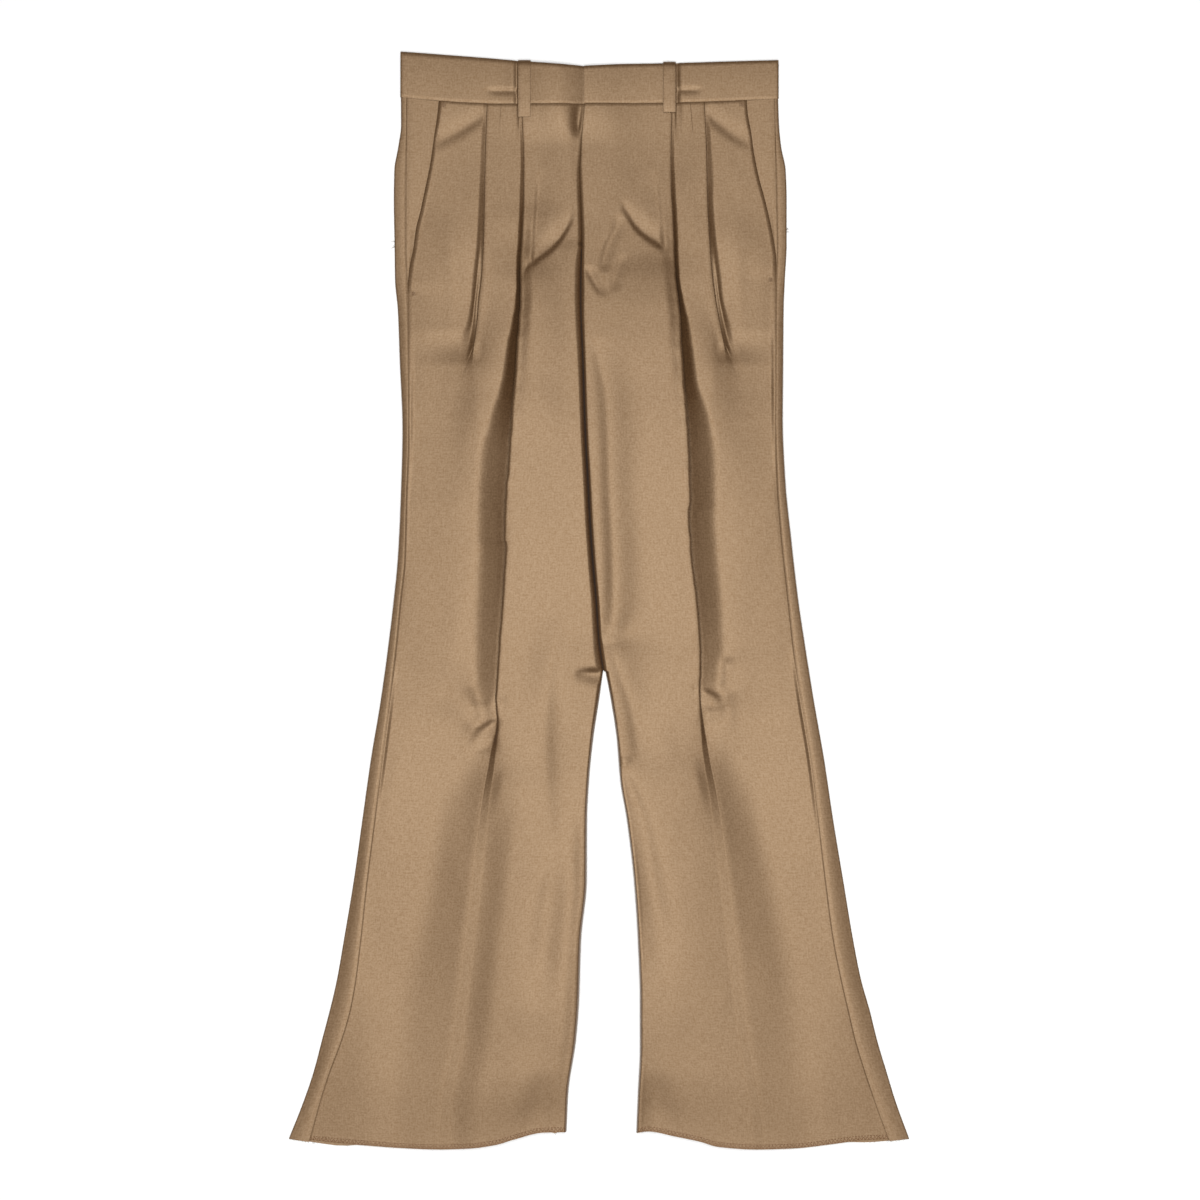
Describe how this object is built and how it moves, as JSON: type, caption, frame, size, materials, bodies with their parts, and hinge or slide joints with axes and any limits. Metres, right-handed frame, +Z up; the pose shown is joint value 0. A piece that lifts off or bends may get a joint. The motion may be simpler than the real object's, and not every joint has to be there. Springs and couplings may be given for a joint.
{
  "type": "pleated flared dress trousers",
  "caption": "Flared dress trousers with reverse pleats, slanted pockets and front creases, laid flat on their back, front side up.",
  "frame": {"origin": "on the surface that the trousers lie on, below the middle of their overall box", "axes": "+Y from the hems towards the waist, +Z up out of the front, -X towards the wearer's right side"},
  "size_m": [0.6193, 1.0944, 0.0157],
  "materials": {
    "suiting": "fine worsted-look cloth, heathered tan",
    "loop": "the same cloth, folded and pressed",
    "zip": "woven tape with a closed chain",
    "hook": "pressed sheet metal"
  },
  "bodies": {
    "root": {"back_left": "suiting", "back_right": "suiting", "belt_loop_back_centre": "loop", "belt_loop_back_left": "loop", "belt_loop_back_right": "loop", "belt_loop_front_left": "loop", "belt_loop_front_right": "loop", "fly_zip": "zip", "front_left": "suiting", "front_right": "suiting", "pocket_facing_left": "suiting", "pocket_facing_right": "suiting", "waist_hook": "hook", "waistband_left": "suiting", "waistband_right": "suiting"}
  },
  "joints": []
}
